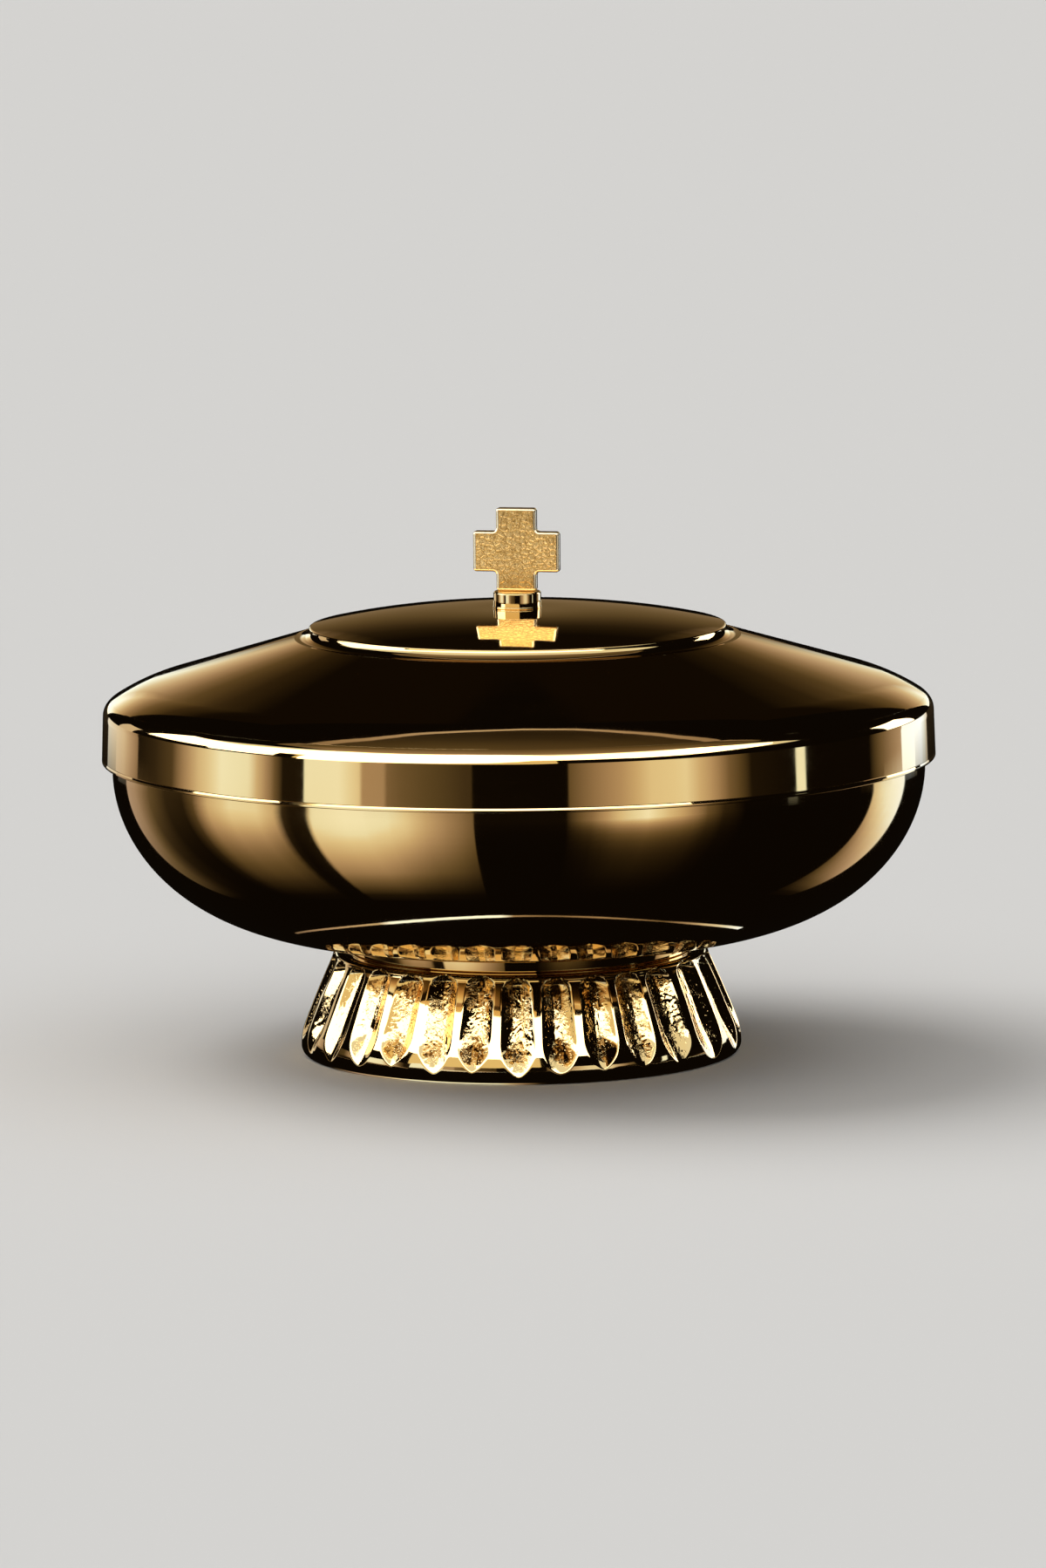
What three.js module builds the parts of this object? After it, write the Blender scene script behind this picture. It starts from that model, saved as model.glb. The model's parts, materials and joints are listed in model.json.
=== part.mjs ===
// A shallow covered ciborium: a spun bowl on a cast, fluted foot, with a lift-off lid that has
// a plain band, a raised disc and a small cross. Millimetres, +Z up. The origin is on the table
// under the middle of the foot. The lid is modelled closed.
import * as THREE from "three";

// Foot: a cast ring, hollow below, with leaf-shaped flutes cut into its flared side
const footRadius = 42.6; // widest, on the plain rim below the flutes
const footFlare = 6.4; // how much narrower the side is at its top
const footHeight = 20;
const footFlarePower = 1.1; // above 1 the side bulges a little
const footRimHeight = 3; // height of the widest line
const footEdgeInset = 1; // how far the underside edge is rounded in
const footShoulderRound = 1.3;
const footWall = 4.4; // measured from the ridges
const footFlangeThickness = 1.6;
const footFlangeWidth = 6;
const fluteCount = 30;
const fluteDepth = 1.4;
const fluteRidgeShare = 0.22; // part of the pitch where a flute's flank lies, each side
const fluteFlankDepth = 0.66; // depth on the flank, as a share of the depth in the middle
const fluteFoot = 0.9; // lowest point of a flute above the widest line
const fluteHeadroom = 0.8; // highest point of a flute below the foot's top
const fluteWander = 0.5; // how much the hand-cut lower tips differ

// Neck: a plain turned ring between foot and bowl
const neckStep = 3.2; // how far it lies inside the foot's top edge
const neckHeight = 3.1;
const neckWall = 3;

// Bowl: spun sheet, flat where it stands on the neck
const bowlRadius = 78;
const bellyDepth = 32.2; // from the flat underside up to the straight lip
const bowlLipHeight = 6.8;
const bowlWall = 1.1;
const bowlSeatMargin = 1; // flat underside beyond the neck
const bellyRadiusPower = 2.25; // a superellipse: 2 and 2 would be an ellipse
const bellyHeightPower = 1.95;

// Turned ring soldered inside the bowl's lip
const rimRingThickness = 1.8;
const rimRingHeight = 4.5;
const rimRingRound = 0.5;

// Stud, plate, washer and nut that draw the foot up to the bowl
const studRadius = 3;
const studTail = 2; // thread below the nut
const bossRadius = 8;
const bossThickness = 2.8;
const plateThickness = 2;
const washerRadius = 9;
const washerThickness = 1.6;
const nutFlats = 10;
const nutHeight = 5;

// Lid band: a turned ring whose skirt hangs round the outside of the bowl's lip
const bandSkirtDrop = 5; // below the bowl's rim
const bandHeight = 8.9; // the bright upright face
const bandSkirtWall = 1.6;
const bandDraft = 0.3; // the face leans in by this much
const bandShoulderRise = 2.7;
const bandShoulderInset = 1.7;
const bandSeatDepth = 1.4; // rebate that takes the lid shell's edge

// Bezel: the ring inside the lid that finds the bowl's mouth
const bezelWall = 1.2;
const bezelDrop = 4; // below the bowl's rim
const bezelRise = 4.6; // above the band's ledge

// Lid shell: a spun cone that eases over into the band, open in the middle
const domeRise = 11.7;
const domeWall = 1.2;
const domeEdgeDrop = 1.3; // how far the easing falls below the cone's line
const domeEdgeWidth = 8;
const domeLipWidth = 3.8; // flat lip that carries the disc
const domeLipSink = 0.6;

// Raised disc with a cove round it
const discRadius = 40;
const discCoveWidth = 2.8;
const discCoveRise = 2;
const discCrown = 3.4;
const discCrownPower = 2.2;
const discWall = 1.8;
const discSeatRadius = 6.7; // flat spot under the collar
const discRimWidth = 4.1;

// Finial: collar, cross and the stud, washer and nut that hold them
const collarRadius = 4.65;
const collarHeight = 3.2;
const collarRound = 0.4;
const crossSpan = 16.8;
const crossArm = 7.8;
const crossBelowArms = 3.7;
const crossAboveArms = 4.5;
const crossThickness = 2;
const crossCorner = 0.4;
const crossBevel = 0.3;
const crossTurn = -12; // degrees; the lid is set down a little turned
const tenonWidth = 5;
const tenonDepth = 1.3;
const finialStudRadius = 2;
const finialStudTail = 1.5;
const finialWasherRadius = 6;
const finialWasherThickness = 1;
const finialNutFlats = 7;
const finialNutHeight = 3.2;

// Clearances
const solderGap = 0.3; // between pieces fitted one inside the other
const lidSeatGap = 0.3; // the lid above the bowl's rim
const lidSkirtGap = 0.4; // the skirt outside the bowl
const bezelGap = 0.5; // the bezel inside the rim ring
const boltGap = 0.3;

// How finely round pieces are divided
const wideSides = 60;
const middleSides = 48;
const narrowSides = 24;
const bellySteps = 9;

// Levels, from the table upwards
const neckBase = footHeight;
const bowlBase = neckBase + neckHeight;
const bellyTop = bowlBase + bellyDepth;
const rimTop = bellyTop + bowlLipHeight;
const bandBase = rimTop - bandSkirtDrop;
const bandTop = bandBase + bandHeight;
const bandLedge = rimTop + lidSeatGap;
const shoulderTop = bandTop + bandShoulderRise;
const notchLevel = shoulderTop + domeRise;
const discEdge = notchLevel + discCoveRise;
const discTop = discEdge + discCrown;
const collarTop = discTop + collarHeight;
const tenonBase = collarTop - tenonDepth;
const flangeUnderside = footHeight - footFlangeThickness;
const plateUnderside = flangeUnderside - plateThickness;
const washerUnderside = plateUnderside - washerThickness;
const nutUnderside = washerUnderside - nutHeight;
const studEnd = nutUnderside - studTail;
const finialWasherTop = discTop - discWall;
const finialNutTop = finialWasherTop - finialWasherThickness;
const finialNutUnderside = finialNutTop - finialNutHeight;
const finialStudEnd = finialNutUnderside - finialStudTail;

// Radii that follow from the pieces they meet
const footTopRadius = footRadius - footFlare;
const neckRadius = footTopRadius - neckStep;
const bowlFlatRadius = neckRadius + bowlSeatMargin;
const boltHole = studRadius + boltGap;
const finialHole = finialStudRadius + boltGap;
const skirtBore = bowlRadius + lidSkirtGap;
const bandRadius = skirtBore + bandSkirtWall;
const shoulderRadius = bandRadius - bandDraft - bandShoulderInset;
const rimRingRadius = bowlRadius - bowlWall - solderGap;
const rimRingBore = rimRingRadius - rimRingThickness;
const bezelRadius = rimRingBore - bezelGap;
const bandBore = bezelRadius + solderGap;
const discOuterRadius = discRadius + discCoveWidth;
const domeHole = discOuterRadius - domeLipWidth;
const tenonReach = Math.hypot(tenonWidth / 2, crossThickness / 2);
const collarSocket = tenonReach + boltGap;

// Materials
const polished = { color: 0xd8a95a, roughness: 0.08, metalness: 1 };
const cast = { color: 0xd6a455, roughness: 0.22, metalness: 1 };
const frosted = { color: 0xcfa356, roughness: 0.45, metalness: 1 };
const turnedBrass = { color: 0xb98d45, roughness: 0.35, metalness: 1 };

const ciborium = new THREE.Group();
const cup = new THREE.Group();
const lid = new THREE.Group();
ciborium.add(cup, lid);

function place(group, name, geometry, look) {
  const mesh = new THREE.Mesh(geometry, new THREE.MeshStandardMaterial(look));
  mesh.name = name;
  group.add(mesh);
  return mesh;
}

// Turns a closed section about the upright axis. Its points are [radius, height], outside first,
// going up: this order makes the faces point out.
function turned(section, sides) {
  const points = section.map(([radius, height]) => new THREE.Vector2(radius, height));
  points.push(points[0].clone());
  return new THREE.LatheGeometry(points, sides).rotateX(Math.PI / 2);
}

function tube(outer, bore, base, top, sides) {
  return turned([[outer, base], [outer, top], [bore, top], [bore, base]], sides);
}

function rod(radius, base, top, sides) {
  const points = [[0, base], [radius, base], [radius, top], [0, top]];
  const outline = points.map(([r, z]) => new THREE.Vector2(r, z));
  return new THREE.LatheGeometry(outline, sides).rotateX(Math.PI / 2);
}

function hexNut(flats, bore, base, height) {
  const corner = flats / 2 / Math.cos(Math.PI / 6);
  const outline = new THREE.Shape();
  for (let k = 0; k < 6; k += 1) {
    const angle = (k * Math.PI) / 3;
    const x = corner * Math.cos(angle);
    const y = corner * Math.sin(angle);
    if (k === 0) outline.moveTo(x, y);
    else outline.lineTo(x, y);
  }
  outline.closePath();
  const hole = new THREE.Path();
  hole.absarc(0, 0, bore, 0, 2 * Math.PI, true);
  outline.holes.push(hole);
  const options = { depth: height, bevelEnabled: false, curveSegments: narrowSides / 2 };
  return new THREE.ExtrudeGeometry(outline, options).translate(0, 0, base);
}

// Radius of the foot's side on the ridges between the flutes
function footRidge(height) {
  if (height < footRimHeight) {
    const under = 1 - height / footRimHeight;
    return footRadius - footEdgeInset * under * under;
  }
  const sideTop = footHeight - footShoulderRound;
  const up = Math.min(1, (height - footRimHeight) / (sideTop - footRimHeight));
  return footRadius - footFlare * up ** footFlarePower;
}

// How deep a flute is at this height, from 0 to 1: rounded at both ends, full in between
function fluteSwell(height, flute) {
  const low = footRimHeight + fluteFoot + fluteWander * (1 + Math.sin(1.7 * flute));
  const high = footHeight - footShoulderRound + fluteHeadroom / 2;
  const along = (height - low) / (high - low);
  if (along <= 0 || along >= 1) return 0;
  return Math.sqrt(Math.sin(Math.PI * along));
}

// One upright section of the foot. The depth share is 0 on a ridge and 1 in a flute's middle.
function footSection(depthShare, flute) {
  const sideTop = footHeight - footShoulderRound;
  const sideSteps = 6;
  const section = [];
  section.push([footRidge(0), 0]);
  section.push([footRidge(footRimHeight / 3), footRimHeight / 3]);
  section.push([footRadius, footRimHeight]);
  for (let k = 1; k <= sideSteps; k += 1) {
    const height = footRimHeight + ((sideTop - footRimHeight) * k) / sideSteps;
    const cut = fluteDepth * depthShare * fluteSwell(height, flute);
    section.push([footRidge(height) - cut, height]);
  }
  section.push([footTopRadius - footShoulderRound * 0.35, footHeight - footShoulderRound * 0.35]);
  section.push([footTopRadius - footShoulderRound, footHeight]);
  const hollowTop = footRidge(flangeUnderside) - footWall;
  section.push([hollowTop - footFlangeWidth, footHeight]);
  section.push([hollowTop - footFlangeWidth, flangeUnderside]);
  section.push([hollowTop, flangeUnderside]);
  section.push([footRadius - footWall, 0]);
  return section;
}

// Joins sections round the axis into one closed ring-shaped skin
function ringSkin(sections) {
  const count = sections.length;
  const ring = sections[0].section.length;
  const positions = [];
  const faces = [];
  for (const { angle, section } of sections) {
    for (const [radius, height] of section) {
      positions.push(radius * Math.cos(angle), radius * Math.sin(angle), height);
    }
  }
  for (let k = 0; k < count; k += 1) {
    const here = k * ring;
    const next = ((k + 1) % count) * ring;
    for (let j = 0; j < ring; j += 1) {
      const up = (j + 1) % ring;
      faces.push(here + j, next + j, next + up);
      faces.push(here + j, next + up, here + up);
    }
  }
  const geometry = new THREE.BufferGeometry();
  geometry.setAttribute("position", new THREE.Float32BufferAttribute(positions, 3));
  geometry.setIndex(faces);
  geometry.computeVertexNormals();
  return geometry;
}

function footRing() {
  const pitch = (2 * Math.PI) / fluteCount;
  const columns = [
    { offset: -0.5, share: 0 },
    { offset: -fluteRidgeShare, share: fluteFlankDepth },
    { offset: 0, share: 1 },
    { offset: fluteRidgeShare, share: fluteFlankDepth },
  ];
  const sections = [];
  for (let flute = 0; flute < fluteCount; flute += 1) {
    for (const { offset, share } of columns) {
      const angle = (flute + offset) * pitch;
      sections.push({ angle, section: footSection(share, flute) });
    }
  }
  return ringSkin(sections);
}

// The bowl's curve from its flat underside to the lip, as [radius, height] points going up
function bellyCurve(radius, depth) {
  const points = [];
  for (let k = 0; k <= bellySteps; k += 1) {
    const turn = (Math.PI / 2) * (k / bellySteps);
    const reach = Math.sin(turn) ** (2 / bellyRadiusPower);
    const drop = Math.cos(turn) ** (2 / bellyHeightPower);
    points.push([bowlFlatRadius + (radius - bowlFlatRadius) * reach, bellyTop - depth * drop]);
  }
  return points;
}

function bowlShell() {
  const outside = bellyCurve(bowlRadius, bellyDepth);
  const inside = bellyCurve(bowlRadius - bowlWall, bellyDepth - bowlWall);
  const section = [
    [0, bowlBase],
    ...outside,
    [bowlRadius, rimTop],
    [bowlRadius - bowlWall, rimTop],
    ...inside.reverse(),
    [0, bowlBase + bowlWall],
  ];
  const outline = section.map(([r, z]) => new THREE.Vector2(r, z));
  return new THREE.LatheGeometry(outline, wideSides).rotateX(Math.PI / 2);
}

function rimRing() {
  const base = rimTop - rimRingHeight;
  const section = [
    [rimRingRadius, base],
    [rimRingRadius, rimTop],
    [rimRingBore + rimRingRound, rimTop],
    [rimRingBore, rimTop - rimRingRound],
    [rimRingBore, base],
  ];
  return turned(section, wideSides);
}

function lidBand() {
  const faceTop = bandRadius - bandDraft;
  const rise = bandShoulderRise;
  const inset = bandShoulderInset;
  const section = [[bandRadius, bandBase], [faceTop, bandTop]];
  for (const degrees of [30, 60]) {
    const turn = THREE.MathUtils.degToRad(degrees);
    const radius = faceTop - inset * (1 - Math.cos(turn));
    section.push([radius, bandTop + rise * Math.sin(turn)]);
  }
  section.push([shoulderRadius, shoulderTop]);
  section.push([shoulderRadius, shoulderTop - bandSeatDepth]);
  section.push([bandBore, shoulderTop - bandSeatDepth]);
  section.push([bandBore, bandLedge]);
  section.push([skirtBore, bandLedge]);
  section.push([skirtBore, bandBase]);
  return turned(section, wideSides);
}

// Height of the lid's outside over the cone between the band and the disc
function domeHeight(radius) {
  const slope = (domeRise - domeEdgeDrop) / (shoulderRadius - discOuterRadius);
  const past = Math.max(0, radius - (shoulderRadius - domeEdgeWidth)) / domeEdgeWidth;
  return notchLevel - slope * (radius - discOuterRadius) - domeEdgeDrop * past * past;
}

function lidShell() {
  const edge = shoulderRadius - solderGap;
  const easing = [0, 0.25, 0.5, 0.75, 1].map((share) => edge - share * domeEdgeWidth);
  const step = discOuterRadius + solderGap;
  const lip = notchLevel - domeLipSink;
  const outside = [...easing, step].map((radius) => [radius, domeHeight(radius)]);
  const inside = easing.map((radius) => [radius, domeHeight(radius) - domeWall]);
  inside.push([step, lip - domeWall]);
  inside.push([domeHole, lip - domeWall]);
  const section = [...outside, [step, lip], [domeHole, lip], ...inside.reverse()];
  return turned(section, wideSides);
}

// Height of the raised disc's top
function discHeight(radius) {
  const out = Math.max(0, radius - discSeatRadius) / (discRadius - discSeatRadius);
  return discEdge + discCrown * (1 - out ** discCrownPower);
}

function lidDisc() {
  const base = notchLevel - domeLipSink;
  const section = [[discOuterRadius, base]];
  for (const degrees of [90, 60, 30, 0]) {
    const turn = THREE.MathUtils.degToRad(degrees);
    const radius = discOuterRadius - discCoveWidth * Math.cos(turn);
    section.push([radius, discEdge - discCoveRise * Math.sin(turn)]);
  }
  const span = discRadius - discSeatRadius;
  const crown = [0.75, 0.5, 0.25, 0].map((share) => discSeatRadius + share * span);
  for (const radius of crown) {
    section.push([radius, discHeight(radius)]);
  }
  section.push([finialHole, discTop]);
  section.push([finialHole, discTop - discWall]);
  const rimBore = discOuterRadius - discRimWidth;
  const under = crown.reverse().filter((radius) => radius < rimBore);
  for (const radius of [...under, rimBore]) {
    section.push([radius, discHeight(radius) - discWall]);
  }
  section.push([rimBore, base]);
  return turned(section, middleSides);
}

function finialCollar() {
  const section = [
    [collarRadius - collarRound, discTop],
    [collarRadius, discTop + collarRound],
    [collarRadius, collarTop - collarRound],
    [collarRadius - collarRound, collarTop],
    [collarSocket, collarTop],
    [collarSocket, tenonBase],
    [finialHole, tenonBase],
    [finialHole, discTop],
  ];
  return turned(section, narrowSides);
}

// The cross and its tenon in one flat outline, with softened corners
function crossOutline() {
  const arm = crossArm / 2 - crossBevel;
  const reach = crossSpan / 2 - crossBevel;
  const tenon = tenonWidth / 2 - crossBevel;
  const armLow = crossBelowArms + crossBevel;
  const armHigh = crossBelowArms + crossArm - crossBevel;
  const top = crossBelowArms + crossArm + crossAboveArms - crossBevel;
  const half = [
    [tenon, crossBevel - tenonDepth],
    [tenon, crossBevel],
    [arm, crossBevel],
    [arm, armLow],
    [reach, armLow],
    [reach, armHigh],
    [arm, armHigh],
    [arm, top],
  ];
  const other = half.map(([x, y]) => [-x, y]).reverse();
  const corners = [...half, ...other].map(([x, y]) => new THREE.Vector2(x, y));
  const outline = new THREE.Shape();
  corners.forEach((corner, k) => {
    const before = corners[(k + corners.length - 1) % corners.length];
    const after = corners[(k + 1) % corners.length];
    const into = corner.clone().add(before.clone().sub(corner).setLength(crossCorner));
    const away = corner.clone().add(after.clone().sub(corner).setLength(crossCorner));
    if (k === 0) outline.moveTo(into.x, into.y);
    else outline.lineTo(into.x, into.y);
    outline.quadraticCurveTo(corner.x, corner.y, away.x, away.y);
  });
  outline.closePath();
  return outline;
}

function finialCross() {
  const depth = crossThickness - 2 * crossBevel;
  const options = {
    depth,
    bevelSize: crossBevel,
    bevelThickness: crossBevel,
    bevelSegments: 1,
    curveSegments: 2,
  };
  const geometry = new THREE.ExtrudeGeometry(crossOutline(), options);
  geometry.translate(0, 0, -depth / 2).rotateX(Math.PI / 2);
  return geometry.rotateZ(THREE.MathUtils.degToRad(crossTurn));
}

// The cup: foot, neck and bowl with what holds them together
place(cup, "foot_ring", footRing(), cast);
const plateRadius = footRidge(flangeUnderside) - footWall - solderGap;
const plate = tube(plateRadius, boltHole, plateUnderside, flangeUnderside, middleSides);
place(cup, "foot_plate", plate, turnedBrass);
place(cup, "neck_ring", tube(neckRadius, neckRadius - neckWall, neckBase, bowlBase, middleSides), polished);
place(cup, "bowl_shell", bowlShell(), polished);
place(cup, "bowl_rim_ring", rimRing(), polished);
const boss = tube(bossRadius, boltHole, bowlBase - bossThickness, bowlBase, narrowSides);
place(cup, "bowl_boss", boss, turnedBrass);
place(cup, "bowl_stud", rod(studRadius, studEnd, bowlBase, narrowSides), turnedBrass);
const washer = tube(washerRadius, boltHole, washerUnderside, plateUnderside, narrowSides);
place(cup, "foot_washer", washer, turnedBrass);
place(cup, "foot_nut", hexNut(nutFlats, boltHole, nutUnderside, nutHeight), turnedBrass);

// The lid: band, shell, bezel and disc, with the finial on top
place(lid, "lid_band", lidBand(), polished);
place(lid, "lid_shell", lidShell(), polished);
const bezelBase = rimTop - bezelDrop;
const bezel = tube(bezelRadius, bezelRadius - bezelWall, bezelBase, bandLedge + bezelRise, wideSides);
place(lid, "lid_bezel", bezel, polished);
place(lid, "lid_disc", lidDisc(), polished);
place(lid, "finial_collar", finialCollar(), polished);
place(lid, "finial_cross", finialCross(), frosted).position.z = collarTop;
place(lid, "finial_stud", rod(finialStudRadius, finialStudEnd, tenonBase, narrowSides), turnedBrass);
const finialWasher = tube(finialWasherRadius, finialHole, finialNutTop, finialWasherTop, narrowSides);
place(lid, "finial_washer", finialWasher, turnedBrass);
const finialNut = hexNut(finialNutFlats, finialHole, finialNutUnderside, finialNutHeight);
place(lid, "finial_nut", finialNut, turnedBrass);

export default ciborium;
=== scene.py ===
import json
import math
import bpy
import numpy as np
from mathutils import Matrix, Vector


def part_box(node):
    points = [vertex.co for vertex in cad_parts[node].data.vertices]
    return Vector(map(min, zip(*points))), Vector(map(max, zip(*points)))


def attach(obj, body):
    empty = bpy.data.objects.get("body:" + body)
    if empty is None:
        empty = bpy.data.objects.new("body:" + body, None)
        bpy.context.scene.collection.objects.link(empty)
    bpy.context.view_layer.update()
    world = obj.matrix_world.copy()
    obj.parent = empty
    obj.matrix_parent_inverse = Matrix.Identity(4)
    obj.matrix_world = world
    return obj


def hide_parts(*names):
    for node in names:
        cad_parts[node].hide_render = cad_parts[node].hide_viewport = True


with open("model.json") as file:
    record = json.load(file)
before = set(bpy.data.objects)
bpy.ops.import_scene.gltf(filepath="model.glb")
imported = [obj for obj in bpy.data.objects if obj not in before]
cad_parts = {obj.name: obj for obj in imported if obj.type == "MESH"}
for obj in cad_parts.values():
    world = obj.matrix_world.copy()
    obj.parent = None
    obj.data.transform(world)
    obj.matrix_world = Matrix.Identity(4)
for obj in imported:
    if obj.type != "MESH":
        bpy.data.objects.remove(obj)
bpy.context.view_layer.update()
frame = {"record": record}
mm = 0.001


def levelsOf(node):  # lowest and highest point of a CAD piece, in mm
    low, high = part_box(node)
    return low.z / mm, high.z / mm


def widthOf(node):  # radius of a round CAD piece, in mm
    low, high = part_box(node)
    return (high.x - low.x) / 2 / mm


def around(radius, angle, height):  # x, y and z of points given by radius, angle and height
    x, y = radius * np.cos(angle), radius * np.sin(angle)
    return np.stack([x, y, height + 0 * x], -1)


# Outlines: (radius, height) in mm, outside first and going up, then back down the inside

def softened(corners, steps=6):  # (radius, height, rounding) corners become a run of points
    count = len(corners)
    run = []
    for k, (radius, height, rounding) in enumerate(corners):
        here = np.array([radius, height], float)
        if rounding <= 0:
            run.append(tuple(here))
            continue
        before = np.array(corners[k - 1][:2], float) - here
        after = np.array(corners[(k + 1) % count][:2], float) - here
        before /= np.linalg.norm(before)
        after /= np.linalg.norm(after)
        half = math.acos(max(-1.0, min(1.0, float(before @ after)))) / 2
        reach = rounding / math.tan(half)
        middle = here + (before + after) / np.linalg.norm(before + after) * rounding / math.sin(half)
        start = here + before * reach - middle
        end = here + after * reach - middle
        turn = math.pi - 2 * half
        for step in range(steps + 1):
            share = step / steps
            blend = (math.sin((1 - share) * turn) * start + math.sin(share * turn) * end) / math.sin(turn)
            run.append(tuple(middle + blend))
    return run


def pathBetween(start, bend, end, steps):  # a curve that leaves start and reaches end towards bend
    a, b, c = (np.array(p, float) for p in (start, bend, end))
    shares = [k / steps for k in range(steps + 1)]
    return [tuple((1 - t) ** 2 * a + 2 * t * (1 - t) * b + t ** 2 * c) for t in shares]


# Meshes

def newPiece(name, points, faces):
    mesh = bpy.data.meshes.new(name)
    mesh.from_pydata((np.asarray(points) * mm).tolist(), [], faces)
    mesh.polygons.foreach_set("use_smooth", [True] * len(mesh.polygons))
    piece = bpy.data.objects.new(name, mesh)
    bpy.context.scene.collection.objects.link(piece)
    return piece


def turnPiece(name, outline, closed=True, columns=360, sharpAngle=40):
    run = np.array(outline, float)
    count = len(run)
    links = count if closed else count - 1
    steps = np.roll(run, -1, 0) - run
    lengths = np.linalg.norm(steps, axis=1)
    lengths[lengths == 0] = 1e-9
    facing = np.stack([steps[:, 1], -steps[:, 0]], 1) / lengths[:, None]
    angles = np.arange(columns) * 2 * math.pi / columns
    cosines, sines = np.cos(angles), np.sin(angles)
    firstIndex = []
    points = []
    for radius, height in run:
        firstIndex.append(len(points))
        if radius < 1e-6:
            points.append((0.0, 0.0, height))
        else:
            points.extend(zip(radius * cosines, radius * sines, [height] * columns))
    limit = math.cos(math.radians(sharpAngle))

    def normalAt(j, link):  # at outline point j, seen from the link it belongs to
        before = (j - 1) % count
        if not closed and j in (0, count - 1):
            return facing[link]
        if facing[before] @ facing[j] < limit:
            return facing[link]
        mixed = facing[before] * lengths[before] + facing[j] * lengths[j]
        return mixed / np.linalg.norm(mixed)

    faces = []
    normals = []
    for link in range(links):
        after = (link + 1) % count
        onAxis = run[link][0] < 1e-6, run[after][0] < 1e-6
        if all(onAxis):
            continue
        low, high = normalAt(link, link), normalAt(after, link)
        for i in range(columns):
            j = (i + 1) % columns
            here = (low[0] * cosines[i], low[0] * sines[i], low[1])
            beside = (low[0] * cosines[j], low[0] * sines[j], low[1])
            above = (high[0] * cosines[j], high[0] * sines[j], high[1])
            over = (high[0] * cosines[i], high[0] * sines[i], high[1])
            a, b = firstIndex[link], firstIndex[after]
            if onAxis[0]:
                faces.append((a, b + j, b + i))
                normals.extend((here, above, over))
            elif onAxis[1]:
                faces.append((a + i, a + j, b))
                normals.extend((here, beside, above))
            else:
                faces.append((a + i, a + j, b + j, b + i))
                normals.extend((here, beside, above, over))
    piece = newPiece(name, points, faces)
    piece.data.normals_split_custom_set(normals)
    return piece


def skinPiece(name, grid, sharpAngle=None, capped=False):  # grid[column][row] = (x, y, z) in mm
    columns, rows = grid.shape[:2]
    index = np.arange(columns * rows).reshape(columns, rows)
    nextColumn = np.roll(index, -1, 0)
    if capped:
        corners = [index[:, :-1], nextColumn[:, :-1], nextColumn[:, 1:], index[:, 1:]]
    else:
        nextRow = np.roll(index, -1, 1)
        corners = [index, nextColumn, np.roll(nextColumn, -1, 1), nextRow]
    faces = np.stack([c.ravel() for c in corners], 1).tolist()
    if capped:
        faces.append(index[::-1, 0].tolist())
        faces.append(index[:, -1].tolist())
    piece = newPiece(name, grid.reshape(-1, 3), faces)
    if sharpAngle is not None:
        piece.data.set_sharp_from_angle(angle=math.radians(sharpAngle))
    return piece


# Smooth random relief for the cast and crackled surfaces

class Grain:
    def __init__(self, seed):
        self.table = np.random.default_rng(seed).random((32, 32, 32))

    def at(self, x, y, z):
        cells = [np.floor(v).astype(int) for v in (x, y, z)]
        parts = [v - c for v, c in zip((x, y, z), cells)]
        fades = [t * t * (3 - 2 * t) for t in parts]
        total = 0
        for corner in range(8):
            picks = [(corner >> k) & 1 for k in range(3)]
            places = [(c + p) % 32 for c, p in zip(cells, picks)]
            weight = 1
            for p, f in zip(picks, fades):
                weight = weight * (f if p else 1 - f)
            total = total + weight * self.table[places[0], places[1], places[2]]
        return total * 2 - 1

    def creased(self, x, y, z):  # sharp little ridges where the grain changes sign
        return 1 - 2 * np.abs(self.at(x, y, z))


# Shader building

class Wire:  # one output socket, so that shader maths reads as sums
    def __init__(self, finish, socket):
        self.finish = finish
        self.socket = socket

    def __add__(self, other):
        return self.finish.sum("ADD", self, other)

    __radd__ = __add__

    def __sub__(self, other):
        return self.finish.sum("SUBTRACT", self, other)

    def __rsub__(self, other):
        return self.finish.sum("SUBTRACT", other, self)

    def __mul__(self, other):
        return self.finish.sum("MULTIPLY", self, other)

    __rmul__ = __mul__


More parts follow.
